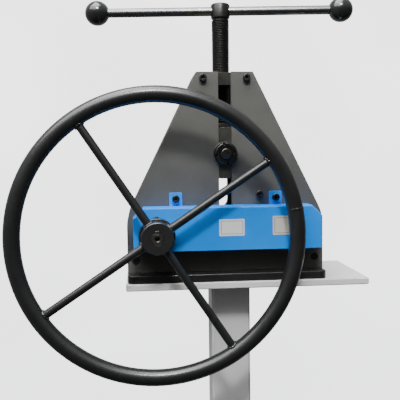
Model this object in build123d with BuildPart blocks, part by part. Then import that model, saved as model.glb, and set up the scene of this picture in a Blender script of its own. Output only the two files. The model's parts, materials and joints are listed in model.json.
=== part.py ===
from build123d import *

import math
import os

# Three-roller bending machine, hand driven. Millimetres, +Z up.
# Origin: centre of the underside of the base plate. X runs along the frame, the handwheel and
# the chain guard are at -Y, and the forming rollers are at +Y.

# ---- driving dimensions: frame ----
BASE_LENGTH = 350.0
BASE_DEPTH = 164.0
BASE_THICK = 14.0
BASE_CORNER_R = 11.0
MOUNT_HOLE_R = 5.5
MOUNT_SPACING_X = 300.0
MOUNT_SPACING_Y = 134.0

PLATE_THICK = 12.0
PLATE_GAP = 80.0
PLATE_HALF_WIDTH = 175.0
PLATE_TOP_HALF_WIDTH = 50.0
PLATE_TOP_Z = 365.0
SHOULDER_Z = 113.0
SHOULDER_R = 75.0
PLATE_CORNER_R = 2.5
FRONT_SLOT_WIDTH = 23.0
REAR_SLOT_WIDTH = 32.0
SLOT_BOTTOM_Z = 120.0

# ---- driving dimensions: running gear ----
CHAIN_PITCH = 12.7
CHAIN_LINKS = 50
SPROCKET_TEETH = 11
SHAFT_Z = 84.5
UPPER_SHAFT_Z = 222.0
JOURNAL_R = 15.0
BUSH_R = 19.0
RUNNING_GAP = 0.05
ROLLER_R = 40.0
ROLLER_WIDTH = 60.0
TUBE_GROOVE_R = 13.0
TUBE_GROOVE_Y = 22.0
BAR_GROOVE_Y = 47.0
BAR_GROOVE_WIDTH = 12.0
BAR_GROOVE_DEPTH = 8.0
ROLLER_OFFSET = 12.0
CHAIN_OFFSET = 18.0
THRUST_OFFSET = 4.3

WHEEL_R = 250.0
RIM_TUBE_R = 14.0
RIM_WALL = 2.5
SPOKE_R = 7.0
FIRST_SPOKE_ANGLE = 33.5
HUB_R = 27.0
HUB_LENGTH = 44.0
HUB_COLLAR_R = 31.0
HUB_COLLAR = 16.0
HUB_BORE_R = 11.0
HUB_GAP = 2.0
HUB_EDGE = 1.2
RIM_FORWARD = 5.5

SCREW_R = 16.0
SCREW_PITCH = 3.0
THREAD_DEPTH = 1.75
SCREW_HEAD_R = 17.0
SCREW_TOP_Z = 492.0
SCREW_HEAD_Z = 467.0
BAR_R = 8.0
BAR_Z = 479.0
BALL_SPACING = 441.0
BALL_R = 22.0
BAR_TURN = -5.75
BAR_SHIFT = -2.7

GUARD_HALF_WIDTH = 164.0
GUARD_BOTTOM_Z = 56.5
GUARD_TOP_Z = 131.5
GUARD_DEPTH = 40.0
GUARD_SHEET = 2.0
GUARD_CORNER = 18.0

# ---- worked out from those ----
FRONT_FACE = -(PLATE_GAP / 2 + PLATE_THICK)
REAR_FACE = -FRONT_FACE
GUARD_FACE = FRONT_FACE - GUARD_DEPTH
HUB_BACK = GUARD_FACE - HUB_GAP
HUB_FRONT = HUB_BACK - HUB_LENGTH
RIM_Y = (HUB_FRONT + HUB_BACK) / 2 - RIM_FORWARD
PITCH_R = CHAIN_PITCH / (2 * math.sin(math.pi / SPROCKET_TEETH))
STRAND_PITCHES = (CHAIN_LINKS - SPROCKET_TEETH) / 2
SHAFT_X = STRAND_PITCHES * CHAIN_PITCH / 2
CHAIN_Y = FRONT_FACE - CHAIN_OFFSET
THRUST_FACE = FRONT_FACE - THRUST_OFFSET
ROLLER_BACK = REAR_FACE + ROLLER_OFFSET
ROLLER_FRONT = ROLLER_BACK + ROLLER_WIDTH

# ---- small parts ----
M8_R = 4.0
M8_HEAD_R = 6.5
M8_HEAD = 8.0
M8_CLEAR_R = 4.5
THREAD_GAP = 0.05
THREAD_EDGE = 0.5
RING_EDGE = 0.5
SHAFT_EDGE = 1.0
HEAD_EDGE = 0.7
SOCKET_SIZE = 0.86
SOCKET_DEPTH = 0.55
NUT_SLOT = 5.0
NUT_EDGE = 0.6


def axle_plane(x, z):
    """A sketch plane whose X is the machine's Y and whose Y is the radius of an axle at (x, z)."""
    return Plane(origin=(x, 0, z), x_dir=(0, 1, 0), z_dir=(1, 0, 0))


def turned(x, z, profile):
    """A part turned about an axle along Y: profile is a list of (y, radius)."""
    with BuildPart() as piece:
        with BuildSketch(axle_plane(x, z)):
            with BuildLine():
                Polyline(*profile, close=True)
            make_face()
        revolve(axis=Axis((x, 0, z), (0, 1, 0)))
    return piece.part


def ring(x, z, y_from, y_to, inner, outer, edge=RING_EDGE):
    """A turned ring with its two outer edges broken."""
    return turned(x, z, [
        (y_from, inner),
        (y_from, outer - edge),
        (y_from + edge, outer),
        (y_to - edge, outer),
        (y_to, outer - edge),
        (y_to, inner),
    ])


def stepped(x, z, y_from, steps, edge=SHAFT_EDGE):
    """A solid stepped shaft: steps is a list of (end y, radius), with both ends chamfered."""
    first = steps[0][1]
    last_y, last = steps[-1]
    profile = [(y_from, 0), (y_from, first - edge), (y_from + edge, first)]
    for (y, radius), (_, following) in zip(steps, steps[1:]):
        profile += [(y, radius), (y, following)]
    profile += [(last_y - edge, last), (last_y, last - edge), (last_y, 0)]
    return turned(x, z, profile)


def cap_screw(seat, length, radius=M8_R, head_r=M8_HEAD_R, head=M8_HEAD):
    """A socket-head cap screw: its head stands on the seat plane and its shank goes below it."""
    with BuildPart() as screw:
        with BuildSketch(Plane.XZ):
            with BuildLine():
                Polyline(
                    (0, -length),
                    (radius - THREAD_EDGE, -length),
                    (radius, THREAD_EDGE - length),
                    (radius, 0),
                    (head_r, 0),
                    (head_r, head - HEAD_EDGE),
                    (head_r - HEAD_EDGE, head),
                    (0, head),
                    close=True,
                )
            make_face()
        revolve(axis=Axis.Z)
        with BuildSketch(Plane.XY.offset(head)):
            RegularPolygon(radius * SOCKET_SIZE, 6)
        extrude(amount=-head * SOCKET_DEPTH, mode=Mode.SUBTRACT)
    return seat.location * screw.part


def front_seat(x, z, y=FRONT_FACE):
    """A screw seat on a face that looks towards -Y."""
    return Plane(origin=(x, y, z), x_dir=(1, 0, 0), z_dir=(0, -1, 0))


def rear_seat(x, z, y=REAR_FACE):
    """A screw seat on a face that looks towards +Y."""
    return Plane(origin=(x, y, z), x_dir=(-1, 0, 0), z_dir=(0, 1, 0))


def save(piece, label):
    """Names a finished piece and writes it as its own STEP file."""
    piece.label = label
    export_step(piece, f"parts/{label}.step")


os.makedirs("parts", exist_ok=True)

# ---- base plate: bolted down through four holes in its front and rear margins ----
BASE_SCREW_X = (-110.0, 0.0, 110.0)
BASE_SCREW_SEAT_Z = 9.0
BASE_SCREW_LENGTH = 21.0
BASE_EDGE_R = 2.0
HEAD_ROOM = 0.5
plate_centres = (-(PLATE_GAP + PLATE_THICK) / 2, (PLATE_GAP + PLATE_THICK) / 2)
base_screw_places = [(x, y) for x in BASE_SCREW_X for y in plate_centres]

with BuildPart() as base_plate:
    with BuildSketch():
        RectangleRounded(BASE_LENGTH, BASE_DEPTH, BASE_CORNER_R)
    extrude(amount=BASE_THICK)
    fillet(base_plate.faces().sort_by(Axis.Z)[-1].edges(), BASE_EDGE_R)
    with BuildSketch():
        with GridLocations(MOUNT_SPACING_X, MOUNT_SPACING_Y, 2, 2):
            Circle(MOUNT_HOLE_R)
        with Locations(*base_screw_places):
            Circle(M8_CLEAR_R)
    extrude(amount=BASE_THICK, mode=Mode.SUBTRACT)
    with BuildSketch():
        with Locations(*base_screw_places):
            Circle(M8_HEAD_R + HEAD_ROOM)
    extrude(amount=BASE_SCREW_SEAT_Z, mode=Mode.SUBTRACT)
save(base_plate.part, "base_plate")

with BuildPart() as base_screws:
    for x, y in base_screw_places:
        seat = Plane(origin=(x, y, BASE_SCREW_SEAT_Z), x_dir=(1, 0, 0), z_dir=(0, 0, -1))
        add(cap_screw(seat, BASE_SCREW_LENGTH))
save(base_screws.part, "base_screws")

# ---- the two side plates: same outline, each with its own guide slot ----
NUT_BLOCK_SCREW_X = 38.4
NUT_BLOCK_SCREW_Z = 354.3
TIE_X = 60.0
TIE_Z = 149.5
CORNER_X = 160.0
CORNER_Z = 35.0
CORNER_HEAD = 5.0
GUARD_TAB_X = 88.8
GUARD_SCREW_Z = 144.0


def plate_outline(slot_width):
    """The outline of a side plate with its open-topped guide slot."""
    round_z = SLOT_BOTTOM_Z + slot_width / 2
    with BuildSketch() as outline:
        with BuildLine():
            Polyline(
                (-PLATE_HALF_WIDTH, BASE_THICK),
                (-PLATE_HALF_WIDTH, SHOULDER_Z),
                (-PLATE_TOP_HALF_WIDTH, PLATE_TOP_Z),
                (PLATE_TOP_HALF_WIDTH, PLATE_TOP_Z),
                (PLATE_HALF_WIDTH, SHOULDER_Z),
                (PLATE_HALF_WIDTH, BASE_THICK),
                close=True,
            )
        make_face()
        fillet([v for v in outline.vertices() if abs(v.Y - SHOULDER_Z) < 1], SHOULDER_R)
        fillet([v for v in outline.vertices() if abs(v.Y - PLATE_TOP_Z) < 1], PLATE_CORNER_R)
        with Locations((0, round_z)):
            Circle(slot_width / 2, mode=Mode.SUBTRACT)
            Rectangle(slot_width, PLATE_TOP_Z, align=(Align.CENTER, Align.MIN), mode=Mode.SUBTRACT)
    return outline.sketch


def plate_holes():
    """The holes that both side plates share."""
    with Locations((-SHAFT_X, SHAFT_Z), (SHAFT_X, SHAFT_Z)):
        Circle(BUSH_R, mode=Mode.SUBTRACT)
    with Locations((-NUT_BLOCK_SCREW_X, NUT_BLOCK_SCREW_Z), (NUT_BLOCK_SCREW_X, NUT_BLOCK_SCREW_Z)):
        Circle(M8_CLEAR_R, mode=Mode.SUBTRACT)
    with Locations((TIE_X, TIE_Z), (-CORNER_X, CORNER_Z), (CORNER_X, CORNER_Z)):
        Circle(M8_CLEAR_R, mode=Mode.SUBTRACT)


def base_threads(centre_y):
    """The threaded holes for the base screws, to cut up into a plate's lower edge."""
    with BuildPart() as holes:
        with BuildSketch(Plane.XY.offset(BASE_THICK)):
            with Locations(*[(x, centre_y) for x in BASE_SCREW_X]):
                Circle(M8_R + THREAD_GAP)
        extrude(amount=BASE_SCREW_LENGTH)
    return holes.part


def corner_recesses(seat_plane):
    """The recesses that take the corner screws' heads flush with a plate's outer face."""
    with BuildPart() as recesses:
        with BuildSketch(seat_plane):
            with Locations((-CORNER_X, CORNER_Z), (CORNER_X, CORNER_Z)):
                Circle(M8_HEAD_R + HEAD_ROOM)
        extrude(amount=-CORNER_HEAD)
    return recesses.part


with BuildPart() as front_plate:
    with BuildSketch(Plane.XZ.offset(-FRONT_FACE)):
        add(plate_outline(FRONT_SLOT_WIDTH))
        plate_holes()
        with Locations((-GUARD_TAB_X, GUARD_SCREW_Z), (GUARD_TAB_X, GUARD_SCREW_Z)):
            Circle(M8_R + THREAD_GAP, mode=Mode.SUBTRACT)
    extrude(amount=-PLATE_THICK)
    add(base_threads(plate_centres[0]), mode=Mode.SUBTRACT)
    add(corner_recesses(front_seat(0, 0)), mode=Mode.SUBTRACT)
save(front_plate.part, "front_plate")

with BuildPart() as rear_plate:
    with BuildSketch(Plane.XZ.offset(-PLATE_GAP / 2)):
        add(plate_outline(REAR_SLOT_WIDTH))
        plate_holes()
    extrude(amount=-PLATE_THICK)
    add(base_threads(plate_centres[1]), mode=Mode.SUBTRACT)
    add(corner_recesses(rear_seat(0, 0)), mode=Mode.SUBTRACT)
save(rear_plate.part, "rear_plate")

# ---- spacers and bolts that tie the plates together ----
SPACER_R = 11.0
CORNER_SCREW_LENGTH = 24.0

with BuildPart() as corner_spacers:
    for x in (-CORNER_X, CORNER_X):
        add(ring(x, CORNER_Z, -PLATE_GAP / 2, PLATE_GAP / 2, M8_R + THREAD_GAP, SPACER_R))
save(corner_spacers.part, "corner_spacers")

with BuildPart() as corner_screws:
    for x in (-CORNER_X, CORNER_X):
        for seat in (front_seat, rear_seat):
            floor = seat(x, CORNER_Z).offset(-CORNER_HEAD)
            add(cap_screw(floor, CORNER_SCREW_LENGTH, head=CORNER_HEAD))
save(corner_screws.part, "corner_screws")

TIE_NUT = 7.0
TIE_THREAD_OUT = 3.0
with BuildPart() as tie_spacer:
    add(ring(TIE_X, TIE_Z, -PLATE_GAP / 2, PLATE_GAP / 2, M8_CLEAR_R, SPACER_R))
save(tie_spacer.part, "tie_spacer")

with BuildPart() as tie_bolt:
    add(cap_screw(front_seat(TIE_X, TIE_Z), REAR_FACE - FRONT_FACE + TIE_NUT + TIE_THREAD_OUT))
save(tie_bolt.part, "tie_bolt")

with BuildPart() as tie_nut:
    with BuildSketch(rear_seat(TIE_X, TIE_Z)):
        RegularPolygon(M8_HEAD_R, 6, major_radius=False)
        Circle(M8_R + THREAD_GAP, mode=Mode.SUBTRACT)
    extrude(amount=TIE_NUT)
    chamfer(tie_nut.faces().sort_by(Axis.Y)[-1].outer_wire().edges(), NUT_EDGE)
save(tie_nut.part, "tie_nut")

# ---- nut block: closes the top of the frame and carries the lead nut ----
NUT_BLOCK_HALF = 50.0
NUT_BLOCK_BOTTOM = 343.0
NUT_STEP_Z = 354.0
NUT_COLLAR_R = 25.0
NUT_BODY_R = 22.0
NUT_SCREW_LENGTH = 28.0

with BuildPart() as nut_block:
    with BuildSketch(Plane.XY.offset(NUT_BLOCK_BOTTOM)):
        Rectangle(2 * NUT_BLOCK_HALF, PLATE_GAP)
        Circle(NUT_BODY_R, mode=Mode.SUBTRACT)
    extrude(amount=PLATE_TOP_Z - NUT_BLOCK_BOTTOM)
    with BuildSketch(Plane.XY.offset(NUT_BLOCK_BOTTOM)):
        Circle(NUT_COLLAR_R)
    extrude(amount=NUT_STEP_Z - NUT_BLOCK_BOTTOM, mode=Mode.SUBTRACT)
    with BuildSketch(Plane.XZ.offset(PLATE_GAP / 2)):
        with Locations(
            (-NUT_BLOCK_SCREW_X, NUT_BLOCK_SCREW_Z), (NUT_BLOCK_SCREW_X, NUT_BLOCK_SCREW_Z)
        ):
            Circle(M8_R + THREAD_GAP)
    extrude(amount=-PLATE_GAP, mode=Mode.SUBTRACT)
save(nut_block.part, "nut_block")

with BuildPart() as lead_nut:
    with BuildSketch(Plane.XY.offset(NUT_BLOCK_BOTTOM)):
        Circle(NUT_COLLAR_R)
    extrude(amount=NUT_STEP_Z - NUT_BLOCK_BOTTOM)
    with BuildSketch(Plane.XY.offset(NUT_STEP_Z)):
        Circle(NUT_BODY_R)
    extrude(amount=PLATE_TOP_Z - NUT_STEP_Z)
    with BuildSketch(Plane.XY.offset(NUT_BLOCK_BOTTOM)):
        Circle(SCREW_R + RUNNING_GAP)
    extrude(amount=PLATE_TOP_Z, mode=Mode.SUBTRACT)
save(lead_nut.part, "lead_nut")

with BuildPart() as nut_block_screws:
    for x in (-NUT_BLOCK_SCREW_X, NUT_BLOCK_SCREW_X):
        add(cap_screw(front_seat(x, NUT_BLOCK_SCREW_Z), NUT_SCREW_LENGTH))
        add(cap_screw(rear_seat(x, NUT_BLOCK_SCREW_Z), NUT_SCREW_LENGTH))
save(nut_block_screws.part, "nut_block_screws")

# ---- chain guard: a folded sheet box, open at its back and underneath, hung on two tabs ----
TAB_WIDTH = 23.0
TAB_TOP_Z = 153.0
GUARD_BEND_R = 2.5
GUARD_SHAFT_HOLE_R = 16.0
GUARD_SCREW_LENGTH = 12.0
TAB_CORNER_R = 2.0


def guard_outline(inset):
    """The guard's front outline, set in by the given amount at its sides and its top."""
    half = GUARD_HALF_WIDTH - inset
    top = GUARD_TOP_Z - inset
    corner = GUARD_CORNER - inset * (2 - math.sqrt(2))
    with BuildSketch() as outline:
        with BuildLine():
            Polyline(
                (-half, GUARD_BOTTOM_Z),
                (-half, top - corner),
                (-half + corner, top),
                (half - corner, top),
                (half, top - corner),
                (half, GUARD_BOTTOM_Z),
                close=True,
            )
        make_face()
    return outline.sketch


with BuildPart() as chain_guard:
    with BuildSketch(Plane.XZ.offset(-GUARD_FACE)):
        add(guard_outline(0))
    extrude(amount=-GUARD_DEPTH)
    front_edges = chain_guard.faces().sort_by(Axis.Y)[0].edges()
    fillet(front_edges.sort_by(Axis.Z)[1:], GUARD_BEND_R)
    with BuildSketch(Plane.XZ.offset(-GUARD_FACE - GUARD_SHEET)):
        add(guard_outline(GUARD_SHEET))
    extrude(amount=-GUARD_DEPTH, mode=Mode.SUBTRACT)
    with BuildSketch(front_seat(0, 0)):
        with Locations((-GUARD_TAB_X, GUARD_TOP_Z), (GUARD_TAB_X, GUARD_TOP_Z)):
            Rectangle(
                TAB_WIDTH, TAB_TOP_Z - GUARD_TOP_Z + GUARD_SHEET, align=(Align.CENTER, Align.MIN)
            )
    extrude(amount=GUARD_SHEET)
    tab_edges = chain_guard.edges().filter_by(Axis.Y).group_by(Axis.Z)[-1]
    fillet(tab_edges, TAB_CORNER_R)
    with BuildSketch(front_seat(0, 0)):
        with Locations((-GUARD_TAB_X, GUARD_SCREW_Z), (GUARD_TAB_X, GUARD_SCREW_Z)):
            Circle(M8_CLEAR_R)
    extrude(amount=GUARD_SHEET, mode=Mode.SUBTRACT)
    with BuildSketch(front_seat(-SHAFT_X, SHAFT_Z, GUARD_FACE)):
        Circle(GUARD_SHAFT_HOLE_R)
    extrude(amount=-GUARD_SHEET, mode=Mode.SUBTRACT)
save(chain_guard.part, "chain_guard")

with BuildPart() as chain_guard_screws:
    for x in (-GUARD_TAB_X, GUARD_TAB_X):
        add(cap_screw(front_seat(x, GUARD_SCREW_Z, FRONT_FACE - GUARD_SHEET), GUARD_SCREW_LENGTH))
save(chain_guard_screws.part, "chain_guard_screws")

# ---- shaft bushes: flanged bronze, pressed into both plates with the flange outside ----
BUSH_FLANGE = 4.0
BUSH_FLANGE_R = 24.0


def flanged_bush(x, side):
    """One bush of the lower shafts; side is -1 in the front plate and 1 in the rear plate."""
    inner = side * PLATE_GAP / 2
    outer = side * REAR_FACE
    return turned(x, SHAFT_Z, [
        (inner, JOURNAL_R + RUNNING_GAP),
        (inner, BUSH_R),
        (outer, BUSH_R),
        (outer, BUSH_FLANGE_R),
        (outer + side * BUSH_FLANGE, BUSH_FLANGE_R),
        (outer + side * BUSH_FLANGE, JOURNAL_R + RUNNING_GAP),
    ])


for side, place in ((-1, "front"), (1, "rear")):
    for x, hand in ((-SHAFT_X, "left"), (SHAFT_X, "right")):
        save(flanged_bush(x, side), f"bush_{place}_{hand}")

# ---- lower shafts: journal between the plates, sprocket seat in front, roller seat behind ----
SPROCKET_SEAT_R = 12.0
SPROCKET_HUB_R = 16.0
ROLLER_THREAD_R = 12.5
SHAFT_END = ROLLER_FRONT + 15.0
DRIVEN_SHAFT_END = CHAIN_Y - 10.0
SPROCKET_PIN_R = 2.5
SPROCKET_PIN_Y = THRUST_FACE - 3.4
ROLLER_KEY_WIDTH = 8.0
ROLLER_KEY_HEIGHT = 7.0
ROLLER_KEY_DEPTH = 4.0
ROLLER_KEY_LENGTH = 46.0
HUB_KEY_WIDTH = 6.0
HUB_KEY_HEIGHT = 6.0
HUB_KEY_DEPTH = 3.5
HUB_KEY_LENGTH = 38.0
KEY_TOP_GAP = 0.3
SET_SCREW_R = 3.0
SET_SCREW_LENGTH = 20.0
SET_SCREW_Y = HUB_BACK - 10.0
SET_SCREW_HEX_R = 1.75
SET_SCREW_HEX_DEPTH = 3.0
CENTRE_HOLE_R = 4.0
CENTRE_HOLE_EDGE = 1.0
CENTRE_HOLE_DEPTH = 9.0


def key(x, z, y_middle, length, width, height, bottom_r):
    """A parallel key with round ends, standing on its keyway's floor above an axle."""
    with BuildPart() as piece:
        with BuildSketch(Plane(origin=(x, y_middle, z + bottom_r))):
            SlotOverall(length, width, rotation=90)
        extrude(amount=height)
    return piece.part


def roller_key(x, z):
    """The key between a shaft and its roller."""
    middle = (ROLLER_BACK + ROLLER_FRONT) / 2
    floor = JOURNAL_R - ROLLER_KEY_DEPTH
    return key(x, z, middle, ROLLER_KEY_LENGTH, ROLLER_KEY_WIDTH, ROLLER_KEY_HEIGHT, floor)


def centre_hole(x, z, y):
    """A countersunk centre hole in a shaft's front end."""
    return turned(x, z, [
        (y, 0),
        (y, CENTRE_HOLE_R + CENTRE_HOLE_EDGE),
        (y + CENTRE_HOLE_EDGE, CENTRE_HOLE_R),
        (y + CENTRE_HOLE_DEPTH, CENTRE_HOLE_R),
        (y + CENTRE_HOLE_DEPTH + CENTRE_HOLE_R / 2, 0),
    ])


def sprocket_pin(x):
    """The cross pin that locks a sprocket to its shaft."""
    with BuildPart() as pin:
        with BuildSketch(Plane(origin=(x, SPROCKET_PIN_Y, SHAFT_Z - SPROCKET_HUB_R))):
            Circle(SPROCKET_PIN_R)
        extrude(amount=2 * SPROCKET_HUB_R)
    return pin.part


hub_key_y = HUB_FRONT + HUB_KEY_LENGTH / 2
hub_key_floor = HUB_BORE_R - HUB_KEY_DEPTH

with BuildPart() as drive_shaft:
    add(stepped(-SHAFT_X, SHAFT_Z, HUB_FRONT, [
        (HUB_BACK, HUB_BORE_R),
        (THRUST_FACE, SPROCKET_SEAT_R),
        (ROLLER_FRONT, JOURNAL_R),
        (SHAFT_END, ROLLER_THREAD_R),
    ]))
    add(roller_key(-SHAFT_X, SHAFT_Z), mode=Mode.SUBTRACT)
    add(sprocket_pin(-SHAFT_X), mode=Mode.SUBTRACT)
    add(centre_hole(-SHAFT_X, SHAFT_Z, HUB_FRONT), mode=Mode.SUBTRACT)
    with BuildSketch(Plane(origin=(-SHAFT_X, hub_key_y, SHAFT_Z + hub_key_floor))):
        Rectangle(HUB_KEY_WIDTH, HUB_KEY_LENGTH)
    extrude(amount=HUB_KEY_HEIGHT, mode=Mode.SUBTRACT)
save(drive_shaft.part, "drive_shaft")

with BuildPart() as driven_shaft:
    add(stepped(SHAFT_X, SHAFT_Z, DRIVEN_SHAFT_END, [
        (THRUST_FACE, SPROCKET_SEAT_R),
        (ROLLER_FRONT, JOURNAL_R),
        (SHAFT_END, ROLLER_THREAD_R),
    ]))
    add(roller_key(SHAFT_X, SHAFT_Z), mode=Mode.SUBTRACT)
    add(sprocket_pin(SHAFT_X), mode=Mode.SUBTRACT)
save(driven_shaft.part, "driven_shaft")

save(sprocket_pin(-SHAFT_X), "drive_sprocket_pin")
save(sprocket_pin(SHAFT_X), "driven_sprocket_pin")

# ---- sprockets and roller chain ----
CHAIN_ROLLER_R = 4.255
CHAIN_PIN_R = 2.225
CHAIN_INNER_WIDTH = 7.75
CHAIN_PLATE = 1.6
CHAIN_PLATE_R = 5.9
CHAIN_PLATE_WAIST = 8.85
CHAIN_PIN_HEAD = 0.6
CHAIN_SIDE_GAP = 0.1
SPROCKET_WIDTH = 7.2
SEAT_R = CHAIN_ROLLER_R + 0.2
TOOTH_ANGLE = 360.0 / SPROCKET_TEETH
TOOTH_TIP = 1.4
TOOTH_GAP_DEPTH = 4.0
TOOTH_GAP_WIDTH = 16.0
TOOTH_FLANK_ANGLE = 48


def sprocket(x, first_seat):
    """A sprocket with its hub towards the plate; first_seat is the angle of one roller seat."""
    with BuildPart() as wheel:
        with BuildSketch(front_seat(x, SHAFT_Z, CHAIN_Y + SPROCKET_WIDTH / 2)):
            Circle(PITCH_R + TOOTH_TIP)
            with PolarLocations(PITCH_R, SPROCKET_TEETH, start_angle=first_seat):
                Circle(SEAT_R, mode=Mode.SUBTRACT)
            gap_r = PITCH_R + TOOTH_GAP_DEPTH / 2
            with PolarLocations(gap_r, SPROCKET_TEETH, start_angle=first_seat):
                Trapezoid(
                    TOOTH_GAP_WIDTH, TOOTH_GAP_DEPTH, TOOTH_FLANK_ANGLE,
                    rotation=90, mode=Mode.SUBTRACT,
                )
        extrude(amount=SPROCKET_WIDTH)
        add(ring(x, SHAFT_Z, CHAIN_Y + SPROCKET_WIDTH / 2, THRUST_FACE, SPROCKET_PIN_R, SPROCKET_HUB_R))
        with BuildSketch(front_seat(x, SHAFT_Z, THRUST_FACE)):
            Circle(SPROCKET_SEAT_R)
        extrude(amount=BASE_DEPTH, mode=Mode.SUBTRACT)
        add(sprocket_pin(x), mode=Mode.SUBTRACT)
    return wheel.part


save(sprocket(-SHAFT_X, 90.0), "drive_sprocket")
save(sprocket(SHAFT_X, -90.0), "driven_sprocket")


def chain_pins():
    """The places of the chain's pins, in order round the loop, as (x, z)."""
    low = PITCH_R * math.cos(math.pi / SPROCKET_TEETH)
    half = CHAIN_PITCH / 2
    steps = math.floor(STRAND_PITCHES)
    places = []
    for side in (1, -1):
        start = Vector(-side * SHAFT_X, SHAFT_Z + side * PITCH_R)
        end = Vector(side * (SHAFT_X - half), SHAFT_Z + side * low)
        for step in range(steps + 1):
            places.append(start + (end - start) * (step / steps))
        turn = 90 * side + TOOTH_ANGLE / 2
        for step in range(1, (SPROCKET_TEETH + 1) // 2):
            angle = math.radians(turn - step * TOOTH_ANGLE)
            along = PITCH_R * math.cos(angle)
            places.append(Vector(side * SHAFT_X + along, SHAFT_Z + PITCH_R * math.sin(angle)))
    return places


def link_plate(start, end, hole_r):
    """Sketches one figure-of-eight link plate between two pins, in the XZ plane."""
    middle = (start + end) / 2
    run = end - start
    angle = math.degrees(math.atan2(run.Y, run.X))
    with Locations((middle.X, middle.Y)):
        Rectangle(CHAIN_PITCH, CHAIN_PLATE_WAIST, rotation=angle)
    with Locations((start.X, start.Y), (end.X, end.Y)):
        Circle(CHAIN_PLATE_R)
        Circle(hole_r, mode=Mode.SUBTRACT)


def inner_link(start, end):
    """Two inner plates and the two rollers that join them, as one turning unit."""
    half = CHAIN_INNER_WIDTH / 2
    with BuildPart() as link:
        for y in (CHAIN_Y - half - CHAIN_PLATE, CHAIN_Y + half):
            with BuildSketch(Plane.XZ.offset(-y)):
                link_plate(start, end, CHAIN_PIN_R + RUNNING_GAP)
            extrude(amount=-CHAIN_PLATE)
        with BuildSketch(Plane.XZ.offset(half - CHAIN_Y)):
            with Locations((start.X, start.Y), (end.X, end.Y)):
                Circle(CHAIN_ROLLER_R)
                Circle(CHAIN_PIN_R + RUNNING_GAP, mode=Mode.SUBTRACT)
        extrude(amount=-CHAIN_INNER_WIDTH)
    return link.part


def outer_link(start, end):
    """Two outer plates and the two pins that are riveted into them."""
    half = CHAIN_INNER_WIDTH / 2 + CHAIN_PLATE + CHAIN_SIDE_GAP
    reach = half + CHAIN_PLATE + CHAIN_PIN_HEAD
    with BuildPart() as link:
        for y in (CHAIN_Y - half - CHAIN_PLATE, CHAIN_Y + half):
            with BuildSketch(Plane.XZ.offset(-y)):
                link_plate(start, end, CHAIN_PIN_R / 2)
            extrude(amount=-CHAIN_PLATE)
        with BuildSketch(Plane.XZ.offset(reach - CHAIN_Y)):
            with Locations((start.X, start.Y), (end.X, end.Y)):
                Circle(CHAIN_PIN_R)
        extrude(amount=-2 * reach)
    return link.part


pins = chain_pins()
links = list(zip(pins, pins[1:] + pins[:1]))
save(Compound(children=[inner_link(*link) for link in links[0::2]]), "chain_inner_links")
save(Compound(children=[outer_link(*link) for link in links[1::2]]), "chain_outer_links")

# ---- handwheel: tube rim, four round spokes and a keyed hub with a collar behind ----
with BuildPart() as handwheel_hub:
    add(ring(-SHAFT_X, SHAFT_Z, HUB_FRONT, HUB_BACK, HUB_BORE_R, HUB_R, HUB_EDGE))
    collar_front = HUB_BACK - HUB_COLLAR
    add(ring(-SHAFT_X, SHAFT_Z, collar_front, HUB_BACK, HUB_BORE_R, HUB_COLLAR_R, HUB_EDGE))
    with BuildSketch(Plane(origin=(-SHAFT_X, (HUB_FRONT + HUB_BACK) / 2, SHAFT_Z + hub_key_floor))):
        Rectangle(HUB_KEY_WIDTH, HUB_LENGTH)
    extrude(amount=HUB_KEY_HEIGHT + KEY_TOP_GAP, mode=Mode.SUBTRACT)
    with BuildSketch(Plane(origin=(-SHAFT_X, SET_SCREW_Y, SHAFT_Z))):
        Circle(SET_SCREW_R + THREAD_GAP)
    extrude(amount=HUB_COLLAR_R, mode=Mode.SUBTRACT)
save(handwheel_hub.part, "handwheel_hub")

with BuildPart() as handwheel_key:
    with BuildSketch(Plane(origin=(-SHAFT_X, hub_key_y, SHAFT_Z + hub_key_floor))):
        Rectangle(HUB_KEY_WIDTH, HUB_KEY_LENGTH)
    extrude(amount=HUB_KEY_HEIGHT)
save(handwheel_key.part, "handwheel_key")

with BuildPart() as handwheel_set_screw:
    set_screw_foot = SHAFT_Z + hub_key_floor + HUB_KEY_HEIGHT
    with BuildSketch(Plane(origin=(-SHAFT_X, SET_SCREW_Y, set_screw_foot))):
        Circle(SET_SCREW_R)
    extrude(amount=SET_SCREW_LENGTH)
    chamfer(handwheel_set_screw.edges().group_by(Axis.Z)[-1], THREAD_EDGE)
    with BuildSketch(Plane(origin=(-SHAFT_X, SET_SCREW_Y, set_screw_foot + SET_SCREW_LENGTH))):
        RegularPolygon(SET_SCREW_HEX_R, 6)
    extrude(amount=-SET_SCREW_HEX_DEPTH, mode=Mode.SUBTRACT)
save(handwheel_set_screw.part, "handwheel_set_screw")

rim_centre_r = WHEEL_R - RIM_TUBE_R
with BuildPart() as handwheel_rim:
    with BuildSketch(axle_plane(-SHAFT_X, SHAFT_Z)):
        with Locations((RIM_Y, rim_centre_r)):
            Circle(RIM_TUBE_R)
            Circle(RIM_TUBE_R - RIM_WALL, mode=Mode.SUBTRACT)
    revolve(axis=Axis((-SHAFT_X, 0, SHAFT_Z), (0, 1, 0)))
save(handwheel_rim.part, "handwheel_rim")

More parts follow.
